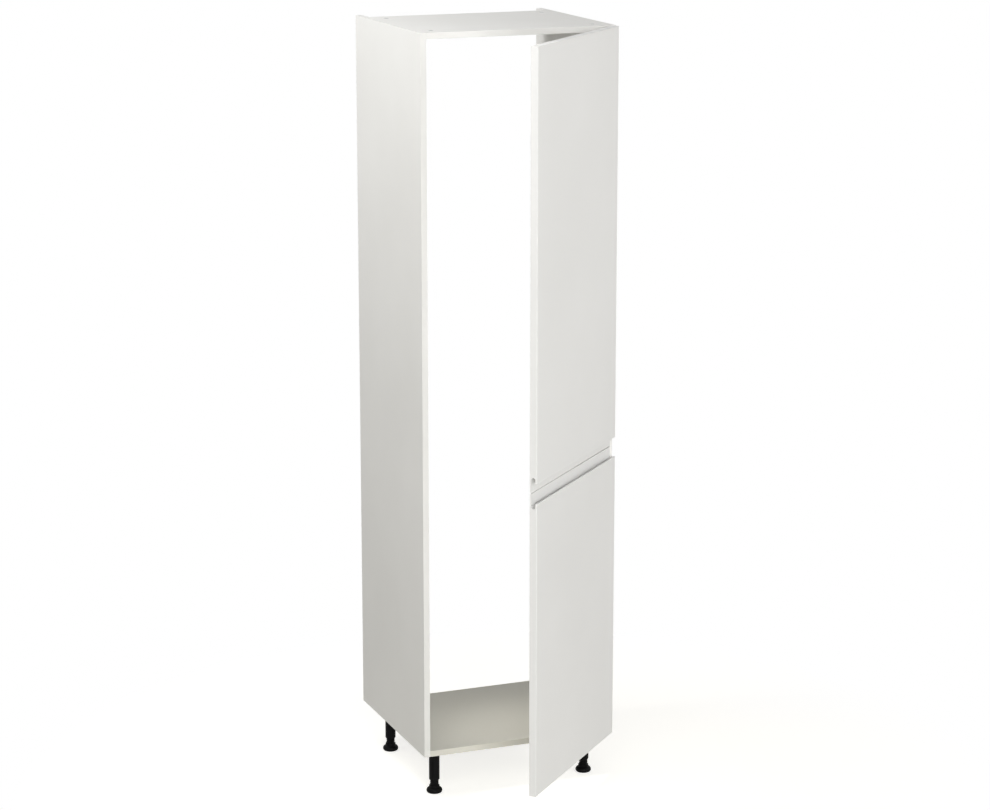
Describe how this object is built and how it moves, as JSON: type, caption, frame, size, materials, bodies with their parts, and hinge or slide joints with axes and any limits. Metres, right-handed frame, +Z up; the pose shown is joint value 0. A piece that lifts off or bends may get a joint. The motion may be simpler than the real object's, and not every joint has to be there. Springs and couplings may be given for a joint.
{
  "type": "fridge housing unit",
  "caption": "Tall open-backed kitchen cabinet on adjustable legs for a built-in fridge, with upper and lower slab doors on concealed hinges and a recessed finger groove where they meet.",
  "frame": {"origin": "centre of the footprint's box on the floor, with the doors open as at rest", "axes": "+X to the right seen from the front, +Y towards the rear, +Z up"},
  "size_m": [0.6016, 0.9956, 2.29],
  "materials": {
    "white_panel": "white melamine-faced board, fine satin texture",
    "white_door": "white wrapped board, satin",
    "nickel": "nickel-plated pressed steel",
    "zinc": "zinc-plated",
    "black_plastic": "moulded, satin"
  },
  "bodies": {
    "carcass": {"left_side_panel": "white_panel", "right_side_panel": "white_panel", "top_panel": "white_panel", "base_panel": "white_panel", "base_front_left_cam": "zinc", "base_front_right_cam": "zinc", "base_rear_left_cam": "zinc", "base_rear_right_cam": "zinc", "top_front_left_cam": "zinc", "top_front_right_cam": "zinc", "top_rear_left_cam": "zinc", "top_rear_right_cam": "zinc", "base_front_left_bolt": "zinc", "base_front_right_bolt": "zinc", "base_rear_left_bolt": "zinc", "base_rear_right_bolt": "zinc", "top_front_left_bolt": "zinc", "top_front_right_bolt": "zinc", "top_rear_left_bolt": "zinc", "top_rear_right_bolt": "zinc", "lower_hinge_1_plate": "nickel", "lower_hinge_2_plate": "nickel", "upper_hinge_1_plate": "nickel", "upper_hinge_2_plate": "nickel", "upper_hinge_3_plate": "nickel", "lower_hinge_1_arm": "nickel", "lower_hinge_2_arm": "nickel", "upper_hinge_1_arm": "nickel", "upper_hinge_2_arm": "nickel", "upper_hinge_3_arm": "nickel", "front_left_leg_socket": "black_plastic", "front_right_leg_socket": "black_plastic", "rear_left_leg_socket": "black_plastic", "rear_right_leg_socket": "black_plastic", "front_left_leg_tube": "black_plastic", "front_right_leg_tube": "black_plastic", "rear_left_leg_tube": "black_plastic", "rear_right_leg_tube": "black_plastic"},
    "lower_outer_links": {"lower_hinge_1_outer_link": "nickel", "lower_hinge_2_outer_link": "nickel"},
    "lower_inner_links": {"lower_hinge_1_inner_link": "nickel", "lower_hinge_2_inner_link": "nickel"},
    "lower_door_leaf": {"lower_door": "white_door", "lower_hinge_1_cup": "nickel", "lower_hinge_2_cup": "nickel"},
    "upper_outer_links": {"upper_hinge_1_outer_link": "nickel", "upper_hinge_2_outer_link": "nickel", "upper_hinge_3_outer_link": "nickel"},
    "upper_inner_links": {"upper_hinge_1_inner_link": "nickel", "upper_hinge_2_inner_link": "nickel", "upper_hinge_3_inner_link": "nickel"},
    "upper_door_leaf": {"upper_door": "white_door", "upper_hinge_1_cup": "nickel", "upper_hinge_2_cup": "nickel", "upper_hinge_3_cup": "nickel"},
    "front_left_foot_body": {"front_left_foot": "black_plastic"},
    "front_right_foot_body": {"front_right_foot": "black_plastic"},
    "rear_left_foot_body": {"rear_left_foot": "black_plastic"},
    "rear_right_foot_body": {"rear_right_foot": "black_plastic"}
  },
  "joints": [
    {"name": "lower_outer_link_swing", "type": "hinge", "parent": "carcass", "child": "lower_outer_links", "pos_m": [0.25638, -0.05016, 0.5935], "axis": [0, 0, 1], "range_deg": [-14.5, 10]},
    {"name": "lower_inner_link_swing", "type": "hinge", "parent": "carcass", "child": "lower_inner_links", "pos_m": [0.25118, -0.05916, 0.5935], "axis": [0, 0, 1], "range_deg": [-22.5, 15.5]},
    {"name": "lower_door_hinge", "type": "hinge", "parent": "lower_outer_links", "child": "lower_door_leaf", "pos_m": [0.28343, -0.07512, 0.5935], "axis": [0, 0, 1], "range_deg": [-54.49, 79.6]},
    {"name": "upper_outer_link_swing", "type": "hinge", "parent": "carcass", "child": "upper_outer_links", "pos_m": [0.25638, -0.05016, 1.6665], "axis": [0, 0, 1], "range_deg": [-14.5, 10]},
    {"name": "upper_inner_link_swing", "type": "hinge", "parent": "carcass", "child": "upper_inner_links", "pos_m": [0.25118, -0.05916, 1.6665], "axis": [0, 0, 1], "range_deg": [-22.5, 15.5]},
    {"name": "upper_door_hinge", "type": "hinge", "parent": "upper_outer_links", "child": "upper_door_leaf", "pos_m": [0.28343, -0.07512, 1.6665], "axis": [0, 0, 1], "range_deg": [-54.49, 79.6]},
    {"name": "front_left_foot_height", "type": "slide", "parent": "carcass", "child": "front_left_foot_body", "axis": [0, 0, 1], "range_m": [-0.025, 0.015]},
    {"name": "front_right_foot_height", "type": "slide", "parent": "carcass", "child": "front_right_foot_body", "axis": [0, 0, 1], "range_m": [-0.025, 0.015]},
    {"name": "rear_left_foot_height", "type": "slide", "parent": "carcass", "child": "rear_left_foot_body", "axis": [0, 0, 1], "range_m": [-0.025, 0.015]},
    {"name": "rear_right_foot_height", "type": "slide", "parent": "carcass", "child": "rear_right_foot_body", "axis": [0, 0, 1], "range_m": [-0.025, 0.015]}
  ],
  "couplings": [
    {"joint": "lower_outer_link_swing", "follows": "lower_door_hinge", "ratio": -0.17966},
    {"joint": "lower_inner_link_swing", "follows": "lower_door_hinge", "ratio": -0.27974},
    {"joint": "upper_outer_link_swing", "follows": "upper_door_hinge", "ratio": -0.17966},
    {"joint": "upper_inner_link_swing", "follows": "upper_door_hinge", "ratio": -0.27974}
  ]
}
